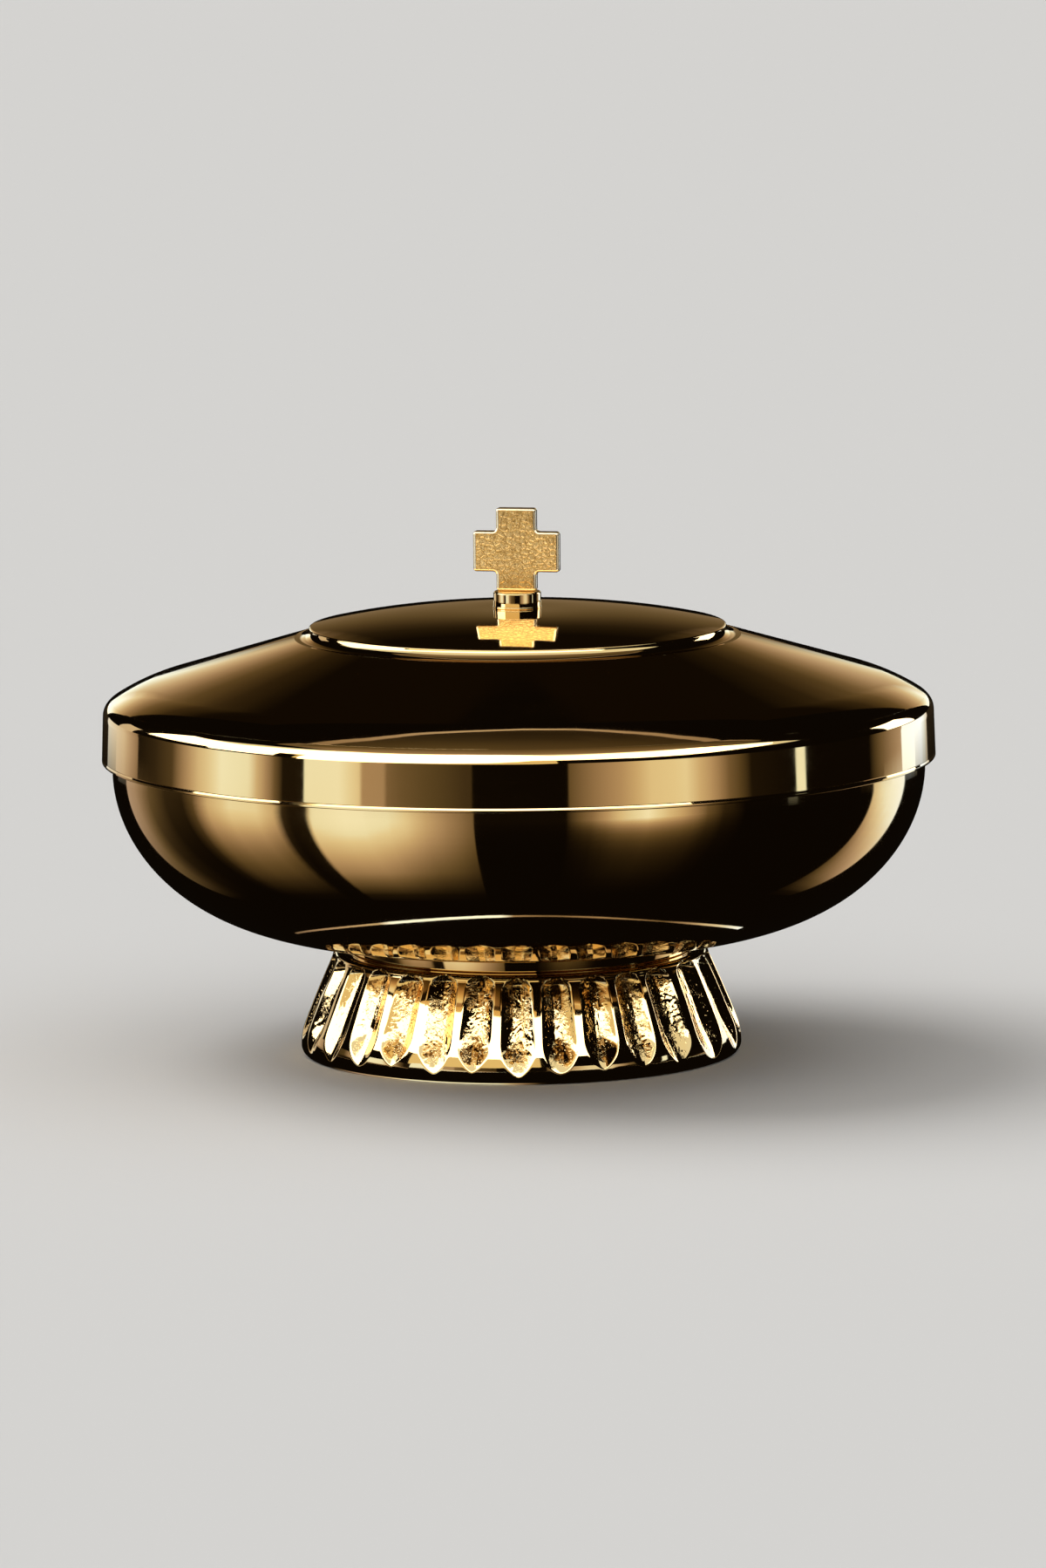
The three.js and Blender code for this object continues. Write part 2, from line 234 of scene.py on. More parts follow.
class Finish:  # the nodes of a material, or of the world
    def __init__(self, owner, outputKind="ShaderNodeOutputMaterial"):
        owner.use_nodes = True
        self.owner = owner
        self.tree = owner.node_tree
        self.tree.nodes.clear()
        self.output = self.tree.nodes.new(outputKind)

    def node(self, kind, settings=None, inputs=None, out=0):
        made = self.tree.nodes.new(kind)
        for key, value in (settings or {}).items():
            if key == "stops":
                ramp = made.color_ramp
                while len(ramp.elements) < len(value):
                    ramp.elements.new(0.5)
                for stop, (place, colour) in zip(ramp.elements, value):
                    stop.position = place
                    stop.color = (*colour, 1)
            else:
                setattr(made, key, value)
        for key, value in (inputs or {}).items():
            if isinstance(value, Wire):
                self.tree.links.new(value.socket, made.inputs[key])
            else:
                made.inputs[key].default_value = value
        return Wire(self, made.outputs[out])

    def sum(self, operation, first, second):
        return self.node("ShaderNodeMath", {"operation": operation}, {0: first, 1: second})

    def blend(self, share, first, second):  # colours
        settings = {"data_type": "RGBA"}
        return self.node("ShaderNodeMix", settings, {0: share, 6: first, 7: second}, 2)

    def places(self):  # where a point lies on the piece, in metres
        return self.node("ShaderNodeTexCoord", out=3)

    def stretched(self, scale):
        inputs = {0: self.places(), 1: scale}
        return self.node("ShaderNodeVectorMath", {"operation": "MULTIPLY"}, inputs)

    def noise(self, where, scale, detail=3.0, rough=0.55):
        inputs = {"Vector": where, "Scale": scale, "Detail": detail, "Roughness": rough}
        return self.node("ShaderNodeTexNoise", None, inputs)

    def cells(self, feature, scale):
        inputs = {"Vector": self.places(), "Scale": scale}
        return self.node("ShaderNodeTexVoronoi", {"feature": feature}, inputs)

    def hollowShare(self):  # kept by the mesh at each of its points
        return self.node("ShaderNodeAttribute", {"attribute_name": "hollow"}, None, 2)

    def ramp(self, value, low, high):  # 0 below low, 1 above high
        inputs = {0: value, 1: low, 2: high, 3: 0.0, 4: 1.0}
        return self.node("ShaderNodeMapRange", {"clamp": True}, inputs)

    def relief(self, height, depth):
        inputs = {"Height": height, "Strength": 1.0, "Distance": depth}
        return self.node("ShaderNodeBump", None, inputs)

    def shown(self, kind, inputs):  # the shader that ends the material
        shader = self.node(kind, None, inputs)
        self.tree.links.new(shader.socket, self.output.inputs["Surface"])
        return self.owner

    def metal(self, inputs):
        return self.shown("ShaderNodeBsdfPrincipled", {"Metallic": 1.0, **inputs})


def newFinish(name):
    return Finish(bpy.data.materials.new(name))


def solid(tone):
    return (*tone, 1)


polishedGiltLook = {
    "tone": (0.93, 0.65, 0.285),
    "deepTone": (0.9, 0.59, 0.23),
    "toneScale": 18,
    "toneRange": (0.35, 0.7),
    "shine": 0.035,
    "wiping": 0.05,
    "wipingScale": 55,
    "wipingStretch": (1.0, 1.0, 3.5),
    "wipingRange": (0.45, 0.85),
    "spinScale": 70,
    "spinStretch": (0.02, 0.02, 60.0),
    "spinDepth": 0.0000006,
}


def polishedGilt():
    look = polishedGiltLook
    f = newFinish("polishedGilt")
    cloud = f.ramp(f.noise(f.places(), look["toneScale"], 2.0), *look["toneRange"])
    wipes = f.noise(f.stretched(look["wipingStretch"]), look["wipingScale"], 5.0, 0.65)
    haze = f.ramp(wipes, *look["wipingRange"])
    rings = f.noise(f.stretched(look["spinStretch"]), look["spinScale"], 2.0)
    return f.metal({
        "Base Color": f.blend(cloud, solid(look["tone"]), solid(look["deepTone"])),
        "Roughness": look["shine"] + look["wiping"] * haze,
        "Normal": f.relief(rings, look["spinDepth"]),
    })


castGiltLook = {
    "tone": (0.94, 0.66, 0.29),
    "hollowTone": (0.94, 0.64, 0.26),
    "shine": 0.04,
    "hollowRough": 0.15,
    "wormScale": 1150.0,
    "wormStretch": (1.0, 1.0, 0.7),
    "wormWidth": 0.03,
    "wormDepth": 0.000035,
    "pitScale": 1500.0,
    "pitSize": 0.2,
    "pitShare": 0.7,
    "patchScale": 260,
    "patchRange": (0.45, 0.65),
    "hollowEdge": 0.3,
}


def castGilt():  # the foot's mesh says at each point how far it lies in a hollow
    look = castGiltLook
    f = newFinish("castGilt")
    hollow = f.hollowShare()
    bent = f.noise(f.stretched(look["wormStretch"]), look["wormScale"], 1.5, 0.5)
    away = f.node("ShaderNodeMath", {"operation": "ABSOLUTE"}, {0: bent - 0.5})
    worms = 1 - f.ramp(away, 0.0, look["wormWidth"])
    pits = 1 - f.ramp(f.cells("F1", look["pitScale"]), 0.0, look["pitSize"])
    patches = f.ramp(f.noise(f.places(), look["patchScale"], 2.0), *look["patchRange"])
    pitted = f.ramp(hollow, 0.0, look["hollowEdge"])
    depth = hollow * worms * patches + pitted * pits * look["pitShare"]
    return f.metal({
        "Base Color": f.blend(hollow, solid(look["tone"]), solid(look["hollowTone"])),
        "Roughness": look["shine"] + look["hollowRough"] * hollow * patches,
        "Normal": f.relief(1 - depth, look["wormDepth"]),
    })


frostedGiltLook = {
    "tone": (0.9, 0.6, 0.24),
    "deepTone": (0.68, 0.4, 0.12),
    "rough": 0.3,
    # paler cream base colour on the bevelled edges: a painted highlight for the light the edges catch
    "edgeHighlightTone": (0.98, 0.8, 0.5),
    "edgeShine": 0.2,
    "faceShine": 0.4,  # how much of the edges' roughness the faces keep
    "warpScale": 500,
    "crackleScale": 950.0,
    "crackleWidth": 0.22,
    "crackleShare": 0.7,
    "crackleDepth": 0.00003,
    "grainScale": 2600,
    "shadeShares": (0.5, 0.9),
    "shadeRange": (0.35, 0.85),
}


def frostedGilt():
    look = frostedGiltLook
    f = newFinish("frostedGilt")
    face = f.hollowShare()
    warp = f.noise(f.places(), look["warpScale"], 2.0)
    grain = f.noise(f.places(), look["grainScale"], 5.0, 0.7)
    crackle = f.ramp(f.cells("DISTANCE_TO_EDGE", look["crackleScale"]), 0.0, look["crackleWidth"])
    height = face * (crackle * look["crackleShare"] + grain + warp)
    crackled, grained = look["shadeShares"]
    shade = face * (1 - f.ramp(crackle * crackled + grain * grained, *look["shadeRange"]))
    # painted highlight: the bevelled edges get the paler cream tone, the faces the gold tone
    toneWithEdgeHighlight = f.blend(face, solid(look["edgeHighlightTone"]), solid(look["tone"]))
    edgeRough = look["edgeShine"] * (1 - (1 - look["faceShine"]) * face)
    return f.metal({
        "Base Color": f.blend(shade, toneWithEdgeHighlight, solid(look["deepTone"])),
        "Roughness": edgeRough + look["rough"] * face * grain,
        "Normal": f.relief(height, look["crackleDepth"]),
    })


turnedBrassLook = {
    "tone": (0.78, 0.56, 0.27),
    "deepTone": (0.6, 0.4, 0.17),
    "stainScale": 120,
    "stainRange": (0.4, 0.75),
    "stainRough": 0.15,
    "rough": 0.22,
    "linesPerMetre": 14000.0,
    "lineDepth": 0.00001,
}


def turnedBrass():
    look = turnedBrassLook
    f = newFinish("turnedBrass")
    stain = f.noise(f.places(), look["stainScale"], 4.0, 0.6)
    stained = f.ramp(stain, *look["stainRange"])
    flat = f.stretched((1.0, 1.0, 0.0))
    away = f.node("ShaderNodeVectorMath", {"operation": "LENGTH"}, {0: flat}, 1)
    lines = f.node("ShaderNodeMath", {"operation": "SINE"}, {0: away * look["linesPerMetre"]})
    return f.metal({
        "Base Color": f.blend(stained, solid(look["tone"]), solid(look["deepTone"])),
        "Roughness": look["rough"] + look["stainRough"] * stain,
        "Normal": f.relief(lines, look["lineDepth"]),
    })


finishes = {
    "polished_gilt": polishedGilt(),
    "cast_gilt": castGilt(),
    "frosted_gilt": frostedGilt(),
    "turned_brass": turnedBrass(),
}
print("finishes made")


def settle(piece, node, slotName):  # it stands for its CAD node and moves with that node's body
    bodies = frame["record"]["behaviour"]["bodies"]
    body = next(name for name, nodes in bodies.items() if node in nodes)
    piece.data.materials.append(finishes[slotName])
    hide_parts(node)
    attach(piece, body)
    return piece


def markHollow(piece, values):
    layer = piece.data.attributes.new("hollow", "FLOAT", "POINT")
    layer.data.foreach_set("value", np.asarray(values, np.float32).ravel())


# Foot

foot = {
    "radius": 42.6,
    "flare": 6.4,
    "flarePower": 1.1,
    "rimHeight": 3.0,
    "rollInset": 1.3,
    "rollHeight": 1.8,
    "easeInset": 0.16,
    "easeTop": 5.5,
    "shoulderRound": 1.3,
    "wall": 4.4,
    "flangeThickness": 1.6,
    "flangeWidth": 6.0,
    "boreEdges": (0.3, 0.2),  # above and below
    "rootRound": 0.8,
    "rootBend": (0.2, 0.25),
    "lowEdge": 0.5,
    "lowBend": (0.15, 0.12),
    "columns": 1500,
    "rows": 128,
    "fluteCount": 30,
    "fluteDepths": (1.6, 1.95),
    "fluteHalfWidth": 0.42,
    "floorShare": 0.2,
    "tipFrom": (1.2, 2.8),
    "topFrom": (0.1, 0.9),
    "tipShare": 0.34,  # shares of a flute's length, along which it comes to its full width or depth
    "headShare": 0.14,
    "sinkShare": 0.4,
    "headSinkShare": 0.07,
    "tipPower": (0.42, 0.75),
    "headPower": 2.4,
    "taper": 0.05,
    "lean": 0.014,
    "skew": 0.6,
    "keel": (1.0, 1.25),
    "wander": 0.07,
    "plainTip": 0.12,
    "textureEnd": 0.86,
    "textureFade": 0.2,
    "frontFlutes": (-71.6, -59, -47, -35.5, -23.3, -12.6, -1, 10.2, 22, 33.3, 45, 60.4, 74.7),
    "frontTextures": (0.15, 0.2, 0.28, 0.6, 0.8, 0.85, 0.85, 0.6, 0.35, 1.0, 1.0, 0.5, 0.4),
    "backTextures": (0.3, 1.0),
    "wrinkleDepth": 0.085,
    "wrinkleLevel": 0.55,
    "sway": 0.09,
    "seed": 11,
}
footTop = levelsOf("foot_ring")[1]


def footRidge(height):
    sideTop = footTop - foot["shoulderRound"]
    under = np.clip(1 - height / foot["rollHeight"], 0, 1)
    roll = foot["rollInset"] * (1 - np.sqrt(1 - under ** 2))
    rise = sideTop - foot["rimHeight"]
    up = np.clip((height - foot["rimHeight"]) / rise, 0, 1)
    side = foot["flare"] * up ** foot["flarePower"]
    top = (foot["easeTop"] - foot["rimHeight"]) / rise
    edge = foot["flare"] * top ** foot["flarePower"]
    eased = np.clip((height - foot["rollHeight"]) / (foot["easeTop"] - foot["rollHeight"]), 0, 1)
    lowSide = foot["easeInset"] + (edge - foot["easeInset"]) * eased ** 2
    side = np.where(height < foot["easeTop"], lowSide, side)
    over = np.clip((height - sideTop) / foot["shoulderRound"], 0, 1)
    shoulder = foot["shoulderRound"] * (1 - np.sqrt(1 - over ** 2))
    return foot["radius"] - roll - side - shoulder


def fluteCentres():  # the front ones as in the photograph, the rest evenly, a little off
    pitch = 360 / foot["fluteCount"]
    centres = list(foot["frontFlutes"])
    textures = list(foot["frontTextures"])
    left = foot["fluteCount"] - len(centres)
    gap = (360 - (centres[-1] - centres[0])) / (left + 1)
    start = centres[-1]
    dice = np.random.default_rng(foot["seed"])
    for k in range(left):
        centres.append(start + gap * (k + 1) + dice.uniform(-foot["wander"], foot["wander"]) * pitch)
        textures.append(dice.uniform(*foot["backTextures"]))
    return [math.radians(c - 90) for c in centres], textures


def cutFlutes(angles, heights):  # how deep each point lies in a flute, and how rough it is there
    dice = np.random.default_rng(foot["seed"] + 1)
    centres, textures = fluteCentres()
    centres = np.array(centres)
    gaps = (np.roll(centres, -1) - centres) % (2 * math.pi)
    depth = np.zeros((len(angles), len(heights)))
    texture = np.zeros_like(depth)
    for k, centre in enumerate(centres):
        low = dice.uniform(*foot["tipFrom"])
        high = footTop - dice.uniform(*foot["topFrom"])
        pointed = dice.uniform(*foot["tipPower"])
        lean = dice.uniform(-foot["lean"], foot["lean"])
        skew = dice.uniform(-foot["skew"], foot["skew"])
        keel = dice.uniform(*foot["keel"])
        deep = dice.uniform(*foot["fluteDepths"])
        room = {-1: gaps[k - 1] / 2, 1: gaps[k] / 2}
        along = np.clip((heights - low) / (high - low), 0, 1)
        tip = np.clip(along / foot["tipShare"], 0, 1)
        head = np.clip((along - 1) / foot["headShare"] + 1, 0, 1)
        leaf = (1 - (1 - tip) ** 2) ** pointed * (1 - head ** foot["headPower"]) ** 0.5
        leaf = leaf * (1 - foot["taper"] * along)
        sink = np.sin(np.clip(along / foot["sinkShare"], 0, 1) * math.pi / 2)
        sink = sink * np.clip((1 - along) / foot["headSinkShare"], 0, 1) ** 0.7
        across = np.angle(np.exp(1j * (angles - centre)))[:, None] + lean * (along - 0.5)[None, :]
        for side, share in room.items():
            reach = np.maximum(2 * foot["fluteHalfWidth"] * share * leaf, 1e-6)[None, :]
            off = np.where(across * side >= 0, np.abs(across) / reach, 9)
            inside = off < 1
            floorShare = foot["floorShare"] * (1 + side * skew)
            climb = np.clip((np.minimum(off, 1) - floorShare) / (1 - floorShare), 0, 1)
            bowed = (1 - climb ** keel) * inside
            soft = bowed ** 1.12 * (1.3 - 0.3 * bowed)
            depth = np.maximum(depth, deep * soft * sink[None, :])
            edge = np.clip((foot["textureEnd"] - off) / foot["textureFade"], 0, 1)
            edge = edge * (leaf > foot["plainTip"]) * np.clip(sink * 2 - 0.3, 0, 1)[None, :]
            texture = np.maximum(texture, edge * textures[k])
    return depth, texture


def crumple(grain, x, y, z):  # shallow wormy creases with pits between them, like crushed foil
    bend = 0.9 * grain.at(x * 0.7, y * 0.7, z * 0.45)  # slower in z, so the creases run upwards
    large = grain.creased(x * 0.75 + bend, y * 0.75 - bend, z * 0.5 + bend)
    medium = grain.creased(x * 1.6 - bend, y * 1.6 + bend, z * 1.15 + bend * 2)
    small = grain.creased(x * 3.1 + bend * 2, y * 3.1, z * 2.4 - bend)
    return 0.5 * large + 0.45 * medium + 0.22 * small


def makeFoot():
    columns, rows = foot["columns"], foot["rows"]
    angles = np.arange(columns) * 2 * math.pi / columns
    sideTop = footTop - foot["shoulderRound"]
    shoulderTurn = np.radians([12, 24, 36, 48, 60, 72, 82, 90])
    heights = footTop * (np.arange(rows + 1) / rows)
    overShoulder = sideTop + foot["shoulderRound"] * np.sin(shoulderTurn)
    heights = np.concatenate([heights[heights < sideTop], overShoulder])
    depth, texture = cutFlutes(angles, heights)
    ridge = footRidge(heights)[None, :]
    x, y = ridge * np.cos(angles)[:, None], ridge * np.sin(angles)[:, None]
    z = heights[None, :] + 0 * x
    grain = Grain(foot["seed"])
    sway = foot["sway"] * np.abs(grain.at(x * 0.16, y * 0.16, z * 0.11)) * np.clip(z / 2, 0, 1)
    relief = foot["wrinkleDepth"] * texture * (crumple(grain, x, y, z) - foot["wrinkleLevel"])
    radius = ridge - depth - sway + np.minimum(relief, depth)
    under = footTop - foot["flangeThickness"]
    wallTop = footRidge(np.array([under]))[0] - foot["wall"]
    wallFoot = foot["radius"] - foot["wall"]
    bore = wallTop - foot["flangeWidth"]
    topEdge, underEdge = foot["boreEdges"]
    root, low = under - foot["rootRound"], foot["lowEdge"]
    inward, down = foot["rootBend"]
    bend, rise = foot["lowBend"]
    inside = [
        (bore + topEdge, footTop), (bore, footTop - topEdge),
        (bore, under + underEdge), (bore + underEdge, under),
        (wallTop - foot["rootRound"], under), (wallTop - inward, under - down), (wallTop, root),
    ]
    for share in (0.25, 0.5, 0.75, 1):
        inside.append((wallTop + (wallFoot - wallTop) * share, root * (1 - share) + low * share))
    inside += [(wallFoot + bend, rise), (wallFoot + low, 0.0)]
    rest = [around(r, angles, h) for r, h in inside]
    grid = np.concatenate([around(radius, angles[:, None], z), np.stack(rest, 1)], 1)
    piece = skinPiece("footRing", grid, sharpAngle=50)
    shares = np.zeros(grid.shape[:2])
    shares[:, :len(heights)] = texture
    markHollow(piece, shares)
    return settle(piece, "foot_ring", "cast_gilt")


makeFoot()
print("foot made")


# Plain turned pieces that hold the foot to the bowl

def turnedTube(name, node, bore, slotName, edge=0.2, columns=240):
    low, high = levelsOf(node)
    outer = widthOf(node)
    corners = [(outer, low, edge), (outer, high, edge), (bore, high, edge), (bore, low, edge)]
    return settle(turnPiece(name, softened(corners, 4), columns=columns), node, slotName)


fixings = {
    "neckWall": 3.0,
    "boltHole": 3.3,
    "boltPitch": 1.0,
    "boltFlats": 10,
    "finialHole": 2.3,
    "finialPitch": 0.7,
    "finialFlats": 7,
    "threadDepth": 0.55,  # as shares of the pitch
    "threadEnd": 0.6,
    "endTaper": 0.18,
    "chamferStart": 0.97,
    "chamferAngle": 30,
    "countersink": 0.35,
}

neckBore = widthOf("neck_ring") - fixings["neckWall"]
turnedTube("neckRing", "neck_ring", neckBore, "polished_gilt", edge=0.25, columns=300)
turnedTube("footPlate", "foot_plate", fixings["boltHole"], "turned_brass", edge=0.3)
turnedTube("bowlBoss", "bowl_boss", fixings["boltHole"], "turned_brass", edge=0.3, columns=120)
turnedTube("footWasher", "foot_washer", fixings["boltHole"], "turned_brass", edge=0.25, columns=120)
turnedTube("finialWasher", "finial_washer", fixings["finialHole"], "turned_brass", columns=120)


def threadedStud(name, node, pitch, columns=48, perTurn=10):
    low, high = levelsOf(node)
    rows = int((high - low) / pitch * perTurn)
    angles = np.arange(columns) * 2 * math.pi / columns
    heights = np.linspace(low, high, rows + 1)
    turns = (heights[None, :] / pitch - angles[:, None] / (2 * math.pi)) % 1
    groove = fixings["threadDepth"] * pitch * np.abs(2 * turns - 1)
    ends = np.clip(np.minimum(heights - low, high - heights) / (fixings["threadEnd"] * pitch), 0, 1)
    radii = (widthOf(node) - groove) * (1 - fixings["endTaper"] * (1 - ends))
    grid = around(radii, angles[:, None], heights)
    return settle(skinPiece(name, grid, sharpAngle=50, capped=True), node, "turned_brass")


def chamferedNut(name, node, flats, bore, columns=144):
    low, high = levelsOf(node)
    angles = np.arange(columns) * 2 * math.pi / columns
    hexagon = flats / 2 / np.cos(angles % (math.pi / 3) - math.pi / 6)
    face = flats / 2 * fixings["chamferStart"]
    drop = (hexagon - face) * math.tan(math.radians(fixings["chamferAngle"]))
    sink = fixings["countersink"]
    rings = [
        (hexagon, low + drop), (hexagon, high - drop), (face, high), (bore + sink, high),
        (bore, high - sink), (bore, low + sink), (bore + sink, low), (face, low),
    ]
    grid = np.stack([around(radius, angles, height) for radius, height in rings], 1)
    return settle(skinPiece(name, grid, sharpAngle=25), node, "turned_brass")


threadedStud("bowlStud", "bowl_stud", fixings["boltPitch"])
threadedStud("finialStud", "finial_stud", fixings["finialPitch"])
chamferedNut("footNut", "foot_nut", fixings["boltFlats"], fixings["boltHole"])
chamferedNut("finialNut", "finial_nut", fixings["finialFlats"], fixings["finialHole"])
print("fixings made")


# Bowl

bowl = {
    "flat": 34.0,
    "lip": 6.8,
    "wall": 1.1,
    "radiusPower": 2.25,
    "heightPower": 1.95,
    "steps": 96,
    "lipRound": 0.35,
    "flatRings": (12, 24),
}
rimRing = {"thickness": 1.8, "edge": 0.5, "outerEdges": (0.2, 0.3), "lowEdge": 0.3}


def bellyCurve(radius, depth, top):
    turns = np.linspace(0, math.pi / 2, bowl["steps"] + 1)
    reach = np.sin(turns) ** (2 / bowl["radiusPower"])
    drop = np.maximum(np.cos(turns), 0) ** (2 / bowl["heightPower"])
    return list(zip(bowl["flat"] + (radius - bowl["flat"]) * reach, top - depth * drop))


def makeBowl():
    low, high = levelsOf("bowl_shell")
    outer = widthOf("bowl_shell")
    top = high - bowl["lip"]
    outside = bellyCurve(outer, top - low, top)
    inside = bellyCurve(outer - bowl["wall"], top - low - bowl["wall"], top)
    edge = softened([
        (outer, top, 0), (outer, high, bowl["lipRound"]),
        (outer - bowl["wall"], high, bowl["lipRound"]), (outer - bowl["wall"], top, 0),
    ])
    flat = (0, *bowl["flatRings"])
    outline = [(radius, low) for radius in flat] + [*outside[:-1], *edge, *inside[:-1][::-1]]
    outline += [(radius, low + bowl["wall"]) for radius in flat[::-1]]
    return settle(turnPiece("bowlShell", outline, closed=False), "bowl_shell", "polished_gilt")


def makeRimRing():
    low, high = levelsOf("bowl_rim_ring")
    outer = widthOf("bowl_rim_ring")
    inner = outer - rimRing["thickness"]
    lowEdge, highEdge = rimRing["outerEdges"]
    corners = [
        (outer, low, lowEdge), (outer, high, highEdge),
        (inner, high, rimRing["edge"]), (inner, low, rimRing["lowEdge"]),
    ]
    return settle(turnPiece("bowlRimRing", softened(corners)), "bowl_rim_ring", "polished_gilt")


makeBowl()
makeRimRing()
print("bowl made")


# Lid

band = {
    "faceHeight": 8.7,
    "draft": 0.3,
    "shoulderInset": 1.7,
    "shoulderSlope": 0.62,
    "skirtWall": 1.6,
    "seatDepth": 1.4,
    "ledge": 5.3,
    "bore": 74.6,
    "edge": 0.16,
    "lowerRound": 0.2,
    "beadTop": 0.84,
    "beadLow": 0.48,
    "groove": 0.12,
    "grooveHeight": 0.12,
    "faceStep": 0.03,
    "beadEdge": 0.1,
    "grooveEdge": 0.04,
    "seatEdge": 0.3,
    "ledgeEdge": 0.2,
}
dome = {
    "edgeDrop": 1.3,
    "edgeWidth": 8.0,
    "wall": 1.2,
    "lipWidth": 3.8,
    "lipSink": 0.6,
    "lipEdge": 0.2,
}
disc = {
    "radius": 40.0,
    "coveWidth": 2.8,
    "coveRise": 2.0,
    "crown": 3.4,
    "crownPower": 2.2,
    "wall": 1.8,
    "seat": 6.7,
    "rimWidth": 4.1,
    "rimEdge": 0.3,
    "edge": 0.22,
}
bezel = {"wall": 1.2, "edge": 0.4}


def makeBand():
    low, high = levelsOf("lid_band")
    outer = widthOf("lid_band")
    face = outer - band["draft"]
    faceTop = low + band["faceHeight"]
    inset = face - band["shoulderInset"]
    bend = (face, high - band["shoulderSlope"] * band["shoulderInset"])
    shoulder = pathBetween((face, faceTop), bend, (inset, high), 20)
    skirt = outer - band["skirtWall"]
    ledge = low + band["ledge"]
    seat = high - band["seatDepth"]
    edge = band["edge"]
    grooveTop = low + band["beadTop"]
    start = softened([
        (skirt, low, edge), (outer, low, band["lowerRound"]),
        (outer, low + band["beadLow"], band["beadEdge"]),
        (outer - band["groove"], grooveTop, band["grooveEdge"]),
        (outer - band["faceStep"], grooveTop + band["grooveHeight"], band["grooveEdge"]), (face, faceTop, 0),
    ])[:-1]
    tail = softened([
        (inset, seat, 0), (band["bore"], seat, band["seatEdge"]), (band["bore"], ledge, band["seatEdge"]),
        (skirt, ledge, band["ledgeEdge"]), (skirt, low + 1, 0),
    ])[:-1]
    outline = [*start, *shoulder, *tail]
    return settle(turnPiece("lidBand", outline), "lid_band", "polished_gilt")


def makeShell():
    low, high = levelsOf("lid_shell")
    inset = widthOf("lid_band") - band["draft"] - band["shoulderInset"]
    edgeLevel = levelsOf("lid_band")[1]
    discOuter = widthOf("lid_disc")
    notch = levelsOf("lid_disc")[0] + dome["lipSink"]
    slope = (notch - edgeLevel - dome["edgeDrop"]) / (inset - discOuter)

    def heightAt(radius):
        past = max(0, radius - (inset - dome["edgeWidth"])) / dome["edgeWidth"]
        return notch - slope * (radius - discOuter) - dome["edgeDrop"] * past * past

    easing = np.linspace(inset - 0.01, inset - dome["edgeWidth"], 28)
    cone = np.linspace(inset - dome["edgeWidth"], discOuter + 0.02, 14)[1:]
    outside = [(r, heightAt(r)) for r in (*easing, *cone)]
    inside = [(r, heightAt(r) - dome["wall"]) for r in (*easing, *cone[:-1])]
    lip = notch - dome["lipSink"]
    under = lip - dome["wall"]
    hole, edge = discOuter - dome["lipWidth"], dome["lipEdge"]
    rim = [
        (discOuter + 0.02, lip), (hole + edge, lip), (hole, lip - edge),
        (hole, under + edge), (hole + edge, under), (discOuter, under),
    ]
    return settle(turnPiece("lidShell", [*outside, *rim, *inside[::-1]]), "lid_shell", "polished_gilt")


def makeDisc():
    low, high = levelsOf("lid_disc")
    outer = widthOf("lid_disc")
    edgeLevel = high - disc["crown"]

    def heightAt(radius):
        out = max(0, radius - disc["seat"]) / (disc["radius"] - disc["seat"])
        return edgeLevel + disc["crown"] * (1 - out ** disc["crownPower"])

    cove = []
    for turn in np.radians(np.linspace(90, 6, 16)):
        height = edgeLevel - disc["coveRise"] * math.sin(turn)
        cove.append((outer - disc["coveWidth"] * math.cos(turn), height))
    crownRadii = np.linspace(disc["radius"] - disc["edge"] * 2, disc["seat"], 40)
    crown = [(r, heightAt(r)) for r in crownRadii]
    rounded = pathBetween(cove[-1], (disc["radius"] - 0.02, edgeLevel + 0.02), crown[0], 8)[1:-1]
    inner, hole = outer - disc["rimWidth"], fixings["finialHole"]
    under = [(r, heightAt(r) - disc["wall"]) for r in np.linspace(disc["seat"], inner, 24)]
    outline = [(outer, low), *cove, *rounded, *crown, (hole, high), (hole, high - disc["wall"])]
    outline += [*under, (inner, low + disc["rimEdge"]), (inner + disc["rimEdge"], low)]
    return settle(turnPiece("lidDisc", outline), "lid_disc", "polished_gilt")


makeBand()
makeShell()
makeDisc()
bezelBore = widthOf("lid_bezel") - bezel["wall"]
turnedTube("lidBezel", "lid_bezel", bezelBore, "polished_gilt", bezel["edge"], columns=360)
print("lid made")


# Finial

collar = {
    "topRound": 0.42,
    "bead": 0.3,
    "waist": 0.08,
    "waistRise": 0.1,
    "edges": (0.1, 0.14, 0.04),
    "socketDepth": 1.3,
}
cross = {
    "span": 16.8,
    "arm": 7.8,
    "belowArms": 3.7,
    "aboveArms": 4.5,
    "thickness": 2.0,
    "corner": 0.62,
    "cornerSteps": 5,
    "sideSteps": 14,
    "endSteps": 26,  # along the four ends of the arms
    "bevel": 0.5,
    "bevelDepth": 0.4,
    "bevelTurns": (0, 15, 30, 45, 60, 75, 90),
    "faceSink": 0.05,
    "faceStep": 0.17,
    "turn": -12.0,
    "crackle": 0.022,
    "seed": 5,
}


def makeCollar():
    low, high = levelsOf("finial_collar")
    outer = widthOf("finial_collar")
    beadTop, waist = low + collar["bead"], outer - collar["waist"]
    footEdge, beadEdge, waistEdge = collar["edges"]
    hole, socket = fixings["finialHole"], high - collar["socketDepth"]
    outline = softened([
        (hole, low, 0), (outer, low, footEdge), (outer, beadTop, beadEdge),
        (waist, beadTop + collar["waistRise"], waistEdge), (waist, high, collar["topRound"]), (0, high, 0),
    ])
    outline += [(0, socket), (hole, socket)]
    return settle(turnPiece("finialCollar", outline, columns=160), "finial_collar", "polished_gilt")


